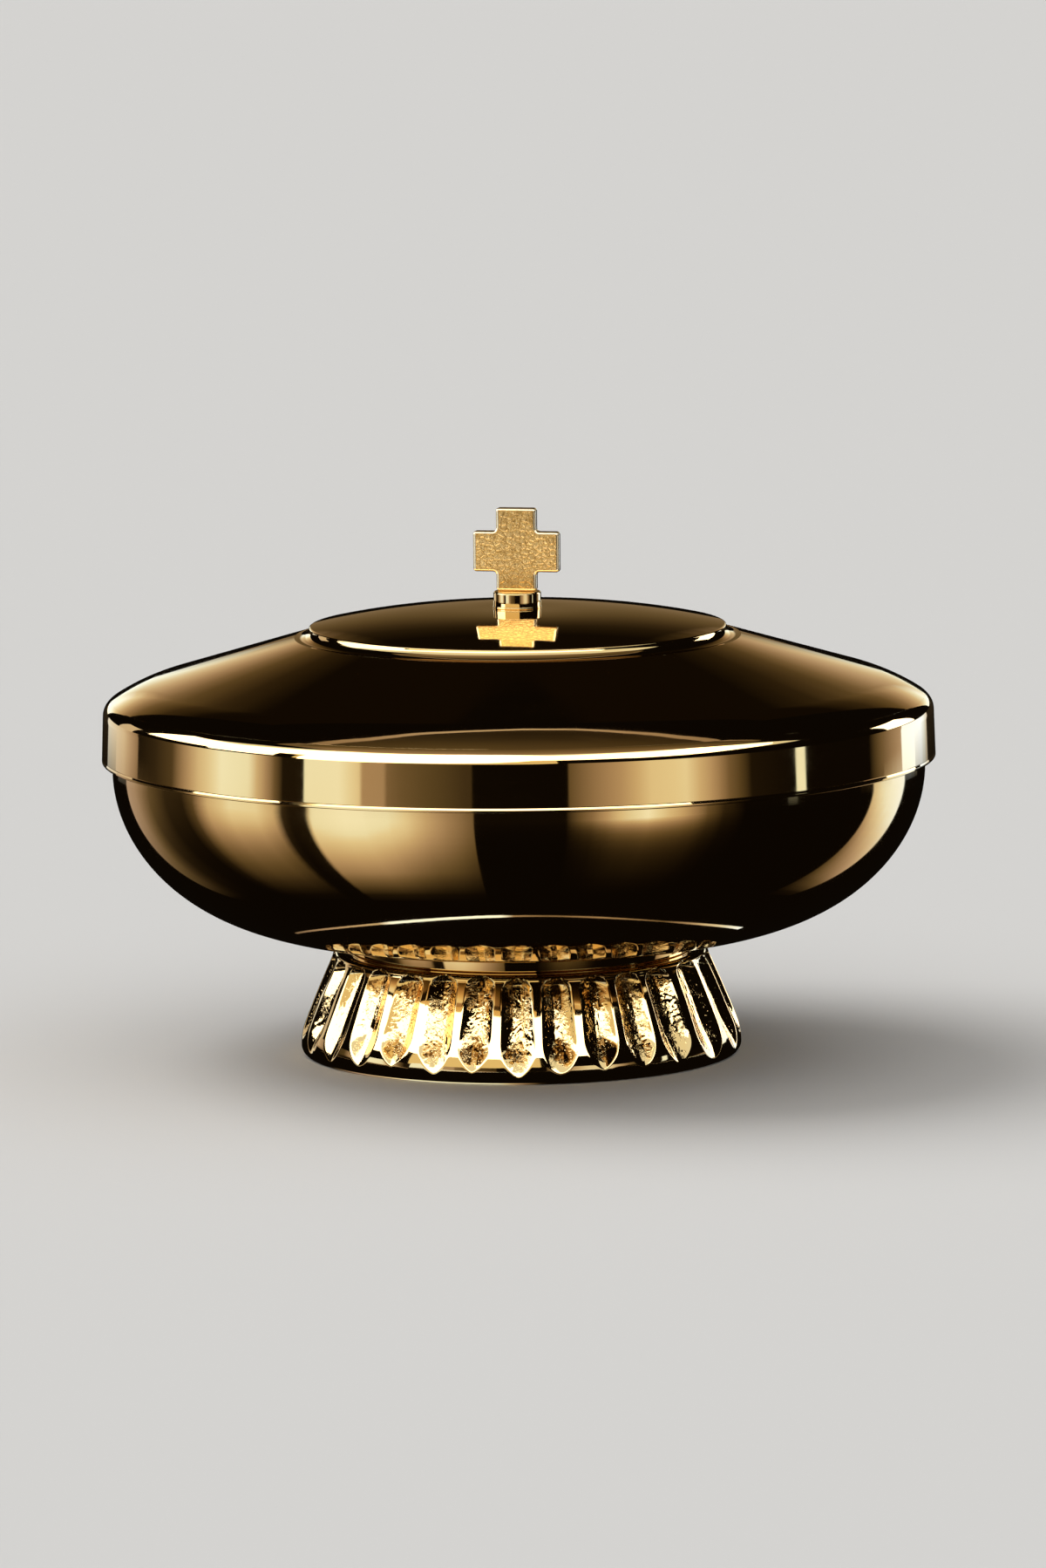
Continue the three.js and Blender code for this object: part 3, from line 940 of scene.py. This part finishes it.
def crossRing(inset):  # the outline drawn in by inset, always with as many points
    arm, reach = cross["arm"] / 2 - inset, cross["span"] / 2 - inset
    low = cross["belowArms"] + inset
    high = cross["belowArms"] + cross["arm"] - inset
    top = cross["belowArms"] + cross["arm"] + cross["aboveArms"] - inset
    half = [
        (arm, inset, 1), (arm, low, -1), (reach, low, 1),
        (reach, high, 1), (arm, high, -1), (arm, top, 1),
    ]
    corners = half + [(-x, z, bend) for x, z, bend in half[::-1]]
    corners = [(x, z, max(0.03, cross["corner"] - bend * inset)) for x, z, bend in corners]
    run = softened(corners, cross["cornerSteps"])
    perCorner = cross["cornerSteps"] + 1
    ring = []
    for k in range(len(corners)):
        after = (k + 1) * perCorner
        here, there = np.array(run[after - 1]), np.array(run[after % len(run)])
        steps = cross["endSteps"] if k % 3 == 2 else cross["sideSteps"]
        ring += run[k * perCorner:after]
        ring += [tuple(here + (there - here) * s / steps) for s in range(1, steps)]
    return np.array(ring)


def makeCross():
    base = levelsOf("finial_collar")[1]
    half, bevel = cross["thickness"] / 2, cross["bevel"]
    flatInsets = np.arange(bevel + 0.3, cross["arm"] / 2 - 0.05, cross["faceStep"])
    faceInsets = [bevel + 0.06, bevel + 0.12, *flatInsets]
    layers = [(inset, -half + cross["faceSink"], 1) for inset in faceInsets[::-1]]
    for roll in np.radians(cross["bevelTurns"]):
        depth = -half + cross["bevelDepth"] * (1 - math.cos(roll))
        layers.append((bevel * (1 - math.sin(roll)), depth, 0))
    layers += [(inset, -depth, face) for inset, depth, face in layers[::-1]]
    grain = Grain(cross["seed"])
    turn = math.radians(cross["turn"])
    grid, shares = [], []
    for inset, depth, face in layers:
        ring = crossRing(inset)
        x, z = ring[:, 0], ring[:, 1]
        side = 40 if depth > 0 else 0
        warp = grain.at(x * 0.6 + side, z * 0.6, 0 * x)
        bumps = grain.creased(x * 1.3 + warp + side, z * 1.3, 0 * x)
        bumps = bumps + 0.7 * grain.creased(x * 2.7 + side, z * 2.7 + warp, 0 * x + 3)
        fade = min(1, max(0, (inset - bevel - 0.05) / 0.3)) * face
        y = depth - math.copysign(1, depth) * fade * cross["crackle"] * (bumps - 0.2) * -0.6
        across = x * math.cos(turn) - y * math.sin(turn)
        along = x * math.sin(turn) + y * math.cos(turn)
        grid.append(np.stack([across, along, z + base], 1))
        shares.append(np.full(len(x), float(face)))
    grid = np.stack(grid, 1)
    piece = skinPiece("finialCross", grid, sharpAngle=35, capped=True)
    markHollow(piece, np.stack(shares, 1))
    return settle(piece, "finial_cross", "frosted_gilt")


makeCollar()
makeCross()
print("finial made")


# Studio: a pale floor under soft lamps, with cards round the object that only its polish shows

studio = {
    "floorTone": (0.72, 0.71, 0.69),
    "floorSize": 30.0,
    "floorRough": 0.6,
    "backTone": (0.57, 0.56, 0.54),
    "fillTone": (0.12, 0.12, 0.12),
    "topPower": 1.4,
    "topAngle": 120,
    "keyPower": 1.4,
    "keyAngle": 50,
    "keyTurn": -120,
    "keyLift": 52,
    "middle": 0.06,
    "surroundGlow": 0.0035,
    "surroundRadius": 1.7,
}
table = {
    "height": 0.001,
    "bodyRadius": 0.075,
    "way": (
        0.0, 0.006, 0.012, 0.018, 0.026, 0.036, 0.048, 0.06, 0.075,
        0.1, 0.134, 0.17, 0.21, 0.28, 0.39, 0.5, 0.62,
    ),
    "rise": 0.02,
    "wallHeights": (0.05, 0.09),
    "wallLean": 1.02,
    "innerRadii": (0.0414, 0.0432, 0.0445, 0.058),
    "innerHeight": 0.00005,
    "innerSlope": 0.1,
    "litRings": 2,
    "rimLine": ((-120, 0.0), (-98, 0.4), (-60, 0.9), (-10, 0.9), (2, 0.3), (10, 0.0)),
    "lightHeight": 0.05,
    "dimPower": 3,
    "end": (78, 25),
    "darkHeight": 0.0004,
    "darkMiddle": 0.4,
}
lightTones = (  # strength, then how much of it is green and blue: dim light is warm, bright light white
    (0.0, 0.74, 0.45), (0.1, 0.79, 0.47), (0.24, 0.8, 0.66), (0.44, 0.84, 0.78), (0.63, 0.92, 0.84),
    (0.85, 1.08, 1.12), (0.91, 1.22, 1.5), (1.2, 1.3, 2.0), (1.7, 1.2, 1.6), (2.6, 1.05, 1.2),
    (4.0, 1.0, 1.0),
)
# Turns are degrees round from the camera's side, and plus is to its right
stripes = [  # turn, strength as the band shows it and below the band, and how many degrees down it lasts
    (-170, 0.02, 0.0, 20),
    (-158, 0.02, 0.0, 20),
    (-157, 0.85, 0.0, 20),
    (-147.5, 0.78, 0.0, 20),
    (-147, 0.77, 0.46, 30),
    (-140, 0.7, 0.4, 28),
    (-129.5, 0.3, 0.14, 20),
    (-129, 0.01, 0.13, 20),
    (-119, 0.03, 0.03, 20),
    (-110, 0.08, 0.02, 20),
    (-105, 0.35, 0.1, 25),
    (-98, 0.7, 0.68, 25),
    (-89, 0.95, 0.9, 26),
    (-79, 0.9, 0.88, 26),
    (-73, 0.42, 0.66, 25),
    (-70, 0.15, 0.03, 25),
    (-67.3, 0.01, 0.01, 25),
    (-62.2, 0.01, 0.01, 46),
    (-60.8, 0.01, 0.8, 46),
    (-60.3, 0.93, 0.93, 46),
    (-50, 0.95, 1.0, 46),
    (-44, 0.8, 0.98, 46),
    (-43, 0.42, 0.96, 46),
    (-37, 0.4, 0.92, 42),
    (-36, 0.2, 0.9, 41),
    (-32, 0.15, 0.84, 38),
    (-26, 0.11, 0.6, 37),
    (-20, 0.08, 0.38, 39),
    (-14.5, 0.05, 0.22, 39),
    (-12.8, 0.05, 0.18, 39),
    (-12.5, 0.001, 0.004, 10),
    (13, 0.001, 0.004, 10),
    (13.5, 0.13, 0.04, 10),
    (20, 0.3, 0.36, 10),
    (28, 0.5, 1.0, 11),
    (36, 0.8, 1.3, 11),
    (46, 0.86, 0.8, 11),
    (54, 0.48, 0.16, 12),
    (59, 0.18, 0.03, 12),
    (66, 0.01, 0.0, 12),
    (81, 0.002, 0.0, 12),
    (81.5, 0.95, 0.0, 12),
    (84.5, 0.95, 0.0, 12),
    (85, 0.001, 0.0, 12),
    (112, 0.001, 0.0, 24),
    (118.5, 0.16, 0.0, 24),
    (119.5, 0.18, 0.76, 25),
    (124, 0.3, 0.9, 31),
    (130.5, 0.45, 1.0, 37),
    (131, 1.2, 1.0, 37),
    (140, 1.18, 1.05, 45),
    (141, 1.17, 0.0, 45),
    (147, 1.15, 0.0, 20),
    (154, 0.75, 0.0, 20),
    (154.5, 0.02, 0.0, 20),
    (170, 0.02, 0.0, 20),
]
windows = {  # at each turn, the lowest and highest elevation in degrees and the strength
    "softBox": {
        "radius": 0.9,
        "stops": (
            (-122, 26, 34, 0.85), (-100, 25, 48, 0.85), (-62, 24, 60, 0.85), (-20, 24, 64, 0.85),
            (20, 26, 62, 0.85), (60, 28, 60, 0.85), (92, 34, 50, 0.85),
        ),
    },
    "footBox": {
        "radius": 0.88,
        "stops": ((-80, 24, 33.5, 3.2), (-76, 22, 33.5, 3.2), (46, 22, 33.5, 3.2), (50, 25, 33.5, 3.2)),
    },
    "crossBox": {
        "radius": 0.92,
        "stops": ((-62, 4, 21, 0.8), (-56, 2, 23, 0.8), (4, 2, 23, 0.8), (10, 4, 21, 0.8)),
        "tint": (0.86, 0.58),
    },
    "leftBox": {
        "radius": 0.3,
        "stops": ((-112, 12, 36, 3.0), (-85, 12, 36, 3.0), (-83, 7, 36, 3.0), (-62, 7, 36, 3.0)),
    },
    "leftStrip": {"radius": 0.9, "stops": ((-140, 1, 17, 0.65), (-129, 1, 17, 0.65))},
    "rightStrip": {"radius": 0.9, "stops": ((118, 4, 23, 3.2), (137, 4, 23, 3.2))},
    "backGlow": {
        "radius": 1.35,
        "stops": (
            (158, 3, 42, 1.4), (166, 3, 42, 1.4), (168, 3, 42, 0.95), (171.6, 3, 42, 0.95),
            (173.4, 3, 42, 0.22), (186.6, 3, 42, 0.22), (188.4, 3, 42, 1.15), (192, 3, 42, 1.15),
            (194, 3, 42, 1.7), (202, 3, 42, 1.7),
        ),
        "dimming": (  # elevation and the share of the strength left there
            (3, 1.0), (8, 0.68), (12, 0.46), (16, 0.22), (20, 0.085), (25, 0.026), (31, 0.004), (42, 0.002),
        ),
        "least": 0.006,
        "tint": (0.88, 0.6),
    },
}
rimLight = {  # close over the lid's shoulder, so that only the shoulder shows it
    "distance": 0.007,
    "sight": 7.7,
    "stops": (  # turn, lowest and highest elevation
        (-122, 24, 27), (-112, 24, 32), (-100, 26, 42), (-86, 27, 50), (-70, 28, 59), (-63, 28, 59),
        (-62, 1, 59), (-45, 1, 64), (-27, 5, 69), (-8, 10, 69), (0, 18, 67), (6, 28, 63), (12, 36, 59),
        (20, 30, 59), (32, 22, 60), (48, 23, 60), (56, 26, 59), (77, 35, 60), (84, 38, 56), (92, 44, 46),
    ),
    "glow": 4.0,
}
overhead = {
    "height": 1.05,
    "edgeWidth": 0.06,
    "edgeGlow": 0.56,
    "edgeFade": 1.2,
    "edgeSeam": 0.001,
    "sideGlow": 1.5,
    "nearEdge": -0.6,
    "steps": (0.1, 0.2, 0.3, 0.45, 0.6, 0.8, 1.0),
    "outline": (  # places across, and how far behind the object the far edge lies there
        (-0.62, 0.36), (-0.5, 0.46), (-0.44, 0.51), (-0.35, 0.53), (-0.27, 0.55), (-0.21, 0.6),
        (-0.158, 0.665), (-0.07, 0.74), (0.006, 0.795), (0.083, 0.77), (0.174, 0.652), (0.289, 0.545),
        (0.38, 0.507), (0.484, 0.44), (0.64, 0.31), (0.72, 0.22),
    ),
    "fading": (  # strength by how far behind the object
        (-0.6, 0.4), (-0.35, 0.26), (-0.1, 0.18), (0.1, 0.13), (0.3, 0.075), (0.45, 0.035),
        (0.6, 0.025), (0.8, 0.03),
    ),
}
lowGlint = {
    "halfWidth": 0.0522,
    "depth": 0.069,
    "height": 0.002,
    "thickness": 0.0008,
    "spread": 0.0009,
    "glow": (
        (-84, 0.2), (-62, 0.45), (-44, 0.6), (-40, 1.2), (-6, 1.3), (-2, 0.4), (8, 0.25), (25, 0.4),
        (45, 0.15), (60, 0.7), (80, 1.1),
    ),
}
up = Vector((0, 0, 1))


def outward(turn, lift=0):  # out from the axis, in degrees round from the camera's side and up
    turn, lift = math.radians(turn), math.radians(lift)
    flat = math.cos(lift)
    return Vector((flat * math.sin(turn), -flat * math.cos(turn), math.sin(lift)))


def plainWorld():  # a dim fill light, behind which the view, and what polish shows of it, is pale
    world = bpy.data.worlds.new("studioWorld")
    bpy.context.scene.world = world
    w = Finish(world, "ShaderNodeOutputWorld")
    kinds = ("Is Camera Ray", "Is Glossy Ray", "Is Transmission Ray")
    seen, glossy, through = (w.node("ShaderNodeLightPath", out=kind) for kind in kinds)
    tone = w.blend(seen + glossy + through, solid(studio["fillTone"]), solid(studio["backTone"]))
    w.shown("ShaderNodeBackground", {"Color": tone})


def floorFinish():
    return newFinish("paleFloor").shown("ShaderNodeBsdfPrincipled", {
        "Base Color": solid(studio["floorTone"]),
        "Roughness": studio["floorRough"],
        "Specular IOR Level": 0.0,
    })


def cardFinish():
    f = newFinish("cardLight")
    return f.shown("ShaderNodeBsdfPrincipled", {
        "Base Color": (0.0, 0.0, 0.0, 1),
        "Specular IOR Level": 0.0,
        "Emission Color": f.node("ShaderNodeAttribute", {"attribute_name": "glow"}),
        "Emission Strength": 1.0,
    })


def stageMesh(name, points, faces, material):
    mesh = bpy.data.meshes.new(name)
    mesh.from_pydata(points, [], faces)
    mesh.materials.append(material)
    piece = bpy.data.objects.new(name, mesh)
    bpy.context.scene.collection.objects.link(piece)
    return piece


def card(name, points, glow, tint=(1, 1)):  # a patch of light, in rows of points, that only polish shows
    count = len(points[0])
    faces = []
    for k in range(len(points) - 1):
        for j in range(count - 1):
            a = k * count + j
            faces.append((a, a + 1, a + count + 1, a + count))
    piece = stageMesh(name, [tuple(p) for row in points for p in row], faces, cardLight)
    strengths, greens, blues = zip(*lightTones)
    tones = []
    for strength in (g for row in glow for g in row):
        green, blue = (np.interp(strength, strengths, shares) for shares in (greens, blues))
        tones += [strength, strength * green * tint[0], strength * blue * tint[1], 1]
    layer = piece.data.attributes.new("glow", "FLOAT_COLOR", "POINT")
    layer.data.foreach_set("color", tones)
    piece.visible_camera = False
    piece.visible_diffuse = False
    piece.visible_shadow = False


def evenTurns(stops, step):  # the turns of the stops, with more between them where they lie far apart
    turns = [stops[0]]
    for start, end in zip(stops, stops[1:]):
        count = max(1, math.ceil((end - start) / step))
        turns += [start + (end - start) * k / count for k in range(1, count + 1)]
    return turns


def makeTable():  # the dark table, with the light that lies on it and on a low wall round it
    stops, atBand, below, depths = zip(*stripes)
    way, inner, level = table["way"], table["innerRadii"], table["height"]
    last, fade = table["end"]
    points, glow = [], []
    for turn in evenTurns(stops, 4):
        band, low, depth = (np.interp(turn, stops, values) for values in (atBand, below, depths))
        side, away = outward(turn / 2), outward(turn)
        start = side * table["bodyRadius"]
        line = np.interp(turn, *zip(*table["rimLine"]))
        row, tones = [], []
        for k, radius in enumerate(inner):
            height = min(level, table["innerHeight"] + table["innerSlope"] * (radius - inner[0]))
            row.append(side * radius + up * height)
            tones.append(line if k < table["litRings"] else 0.0)
        for reach in way:
            share = min(1, max(0, (reach - way[-3]) / (way[-2] - way[-3])))
            rise = table["rise"] * max(0, reach - way[-3]) / (way[-1] - way[-3])
            down = math.degrees(math.atan2(table["lightHeight"], reach))
            shown = low / (1 + (down / depth) ** table["dimPower"])
            shown = shown * min(1, max(0, (last - down) / fade))
            row.append(start + away * reach + up * (level + rise))
            tones.append(shown + (band - shown) * share)
        wall = (start + away * way[-1]) * table["wallLean"]
        row += [wall + up * height for height in table["wallHeights"]]
        tones += [band] * len(table["wallHeights"])
        points.append(row)
        glow.append([tone + studio["surroundGlow"] for tone in tones])
    card("tableLight", points, glow)
    rings = [inner[0], table["darkMiddle"], studio["surroundRadius"]]
    points = []
    for turn in np.linspace(0, 360, 73):
        points.append([outward(turn) * radius + up * table["darkHeight"] for radius in rings])
    card("darkTable", points, [[studio["surroundGlow"]] * len(rings)] * len(points))


def makeGlint():  # the thin line of light that the bowl shows above the foot
    points, glow = [], []
    stops, tones = zip(*lowGlint["glow"])
    for turn in evenTurns(stops, 4):
        way = outward(turn)
        tone = np.interp(turn, stops, tones)
        half = (lowGlint["thickness"] + lowGlint["spread"] * tone) / 2
        row = []
        for push in (-half, half):
            across, ahead = lowGlint["halfWidth"] + push, lowGlint["depth"] + push
            row.append((way.x * across, way.y * ahead, lowGlint["height"]))
        points.append(row)
        glow.append([tone] * 2)
    card("lowGlint", points, glow)


def makeWindow(name, box, steps=14):
    points, glow = [], []
    turns, lows, highs, strengths = zip(*box["stops"])
    for turn in evenTurns(turns, 3):
        low, high, strength = (np.interp(turn, turns, values) for values in (lows, highs, strengths))
        lifts = [low + (high - low) * k / steps for k in range(steps + 1)]
        shares = [np.interp(lift, *zip(*box["dimming"])) if "dimming" in box else 1.0 for lift in lifts]
        points.append([outward(turn, lift) * box["radius"] + up * studio["middle"] for lift in lifts])
        glow.append([max(strength * share, box.get("least", 0)) for share in shares])
    card(name, points, glow, box.get("tint", (1, 1)))


def makeRimLight(steps=16):  # placed where the shoulder throws the camera's sight at each turn and lift
    low, high = levelsOf("lid_band")
    face, inset = widthOf("lid_band") - band["draft"], band["shoulderInset"]
    faceTop = low + band["faceHeight"]
    over = band["shoulderSlope"] * inset
    rise = high - over - faceTop
    toCamera = outward(0, rimLight["sight"])
    turns, lows, highs = zip(*rimLight["stops"])
    points = []
    for turn in evenTurns(turns, 1.5):
        lowest, highest = (np.interp(turn, turns, values) for values in (lows, highs))
        row = []
        for k in range(steps + 1):
            out = outward(turn, lowest + (highest - lowest) * k / steps)
            facing = (out + toCamera).normalized()
            flat = math.hypot(facing.x, facing.y)
            share = min(1, rise * facing.z / flat / (inset + (rise - over) * facing.z / flat))
            radius = face - inset * share ** 2
            height = (1 - share) ** 2 * faceTop + 2 * share * (1 - share) * (high - over) + share ** 2 * high
            place = Vector((radius * facing.x / flat, radius * facing.y / flat, height)) * mm
            row.append(place + out * rimLight["distance"])
        points.append(row)
    card("rimLight", points, [[rimLight["glow"]] * (steps + 1)] * len(points))


def makeOverhead():  # its far edge is what the easing of the dome shows as a curved line
    ys, tones = zip(*overhead["fading"])
    points, glow = [], []
    for x, far in overhead["outline"]:
        side = 1 + overhead["sideGlow"] * max(0, -x)
        within = far - overhead["edgeWidth"]
        row = [far, within, within - overhead["edgeSeam"]]
        row += [within + (overhead["nearEdge"] - within) * share for share in overhead["steps"]]
        points.append([(x, y, overhead["height"]) for y in row])
        bright = overhead["edgeGlow"] * (1 - overhead["edgeFade"] * abs(x))
        glow.append([bright, bright] + [np.interp(y, ys, tones) * side for y in row[2:]])
    card("overheadBox", points, glow)


def makeSurround():  # dark cloth behind the lights
    lifts = np.linspace(-2, 90, 13)
    points = []
    for turn in np.linspace(0, 360, 49):
        points.append([outward(turn, lift) * studio["surroundRadius"] for lift in lifts])
    card("darkCloth", points, [[studio["surroundGlow"]] * len(lifts)] * len(points))


def softLamp(name, power, angle, turn, lift):  # a wide soft lamp, which the polish doesn't show
    lamp = bpy.data.lights.new(name, "SUN")
    lamp.energy = power
    lamp.angle = math.radians(angle)
    holder = bpy.data.objects.new(name, lamp)
    holder.visible_glossy = False
    holder.rotation_euler = outward(turn, lift).to_track_quat("Z", "Y").to_euler()
    bpy.context.scene.collection.objects.link(holder)


plainWorld()
cardLight = cardFinish()
size = studio["floorSize"]
floorCorners = [(-size, -size, 0), (size, -size, 0), (size, size, 0), (-size, size, 0)]
stageMesh("floor", floorCorners, [(0, 1, 2, 3)], floorFinish())
makeTable()
makeGlint()
for name, box in windows.items():
    makeWindow(name, box)
makeRimLight()
makeOverhead()
makeSurround()
softLamp("topLamp", studio["topPower"], studio["topAngle"], 0, 90)
softLamp("keyLamp", studio["keyPower"], studio["keyAngle"], studio["keyTurn"], studio["keyLift"])
print("studio made")


# Camera: worked out from the ellipses of the band, disc and foot in the photograph

view = {
    "distance": 1.8,
    "elevation": 7.712,
    "roll": 0.54,
    "orbit": (0, 0, 0.054),
    "aim": (0.00076, 0, 0.0516),
    "focalPixels": 10748.9,
    "pixelsHigh": 1799,
    "sensor": 36.0,
}


def makeCamera():
    data = bpy.data.cameras.new("camera")
    data.sensor_width = view["sensor"]
    data.lens = view["sensor"] * view["focalPixels"] / view["pixelsHigh"]
    data.clip_end = 100
    camera = bpy.data.objects.new("camera", data)
    bpy.context.scene.collection.objects.link(camera)
    place = Vector(view["orbit"]) + outward(0, view["elevation"]) * view["distance"]
    look = (Vector(view["aim"]) - place).to_track_quat("-Z", "Y")
    spin = Matrix.Rotation(-math.radians(view["roll"]), 4, "Z")
    camera.matrix_world = Matrix.Translation(place) @ look.to_matrix().to_4x4() @ spin
    bpy.context.scene.camera = camera


makeCamera()
bpy.context.scene.view_settings.view_transform = "Standard"
print("camera made")
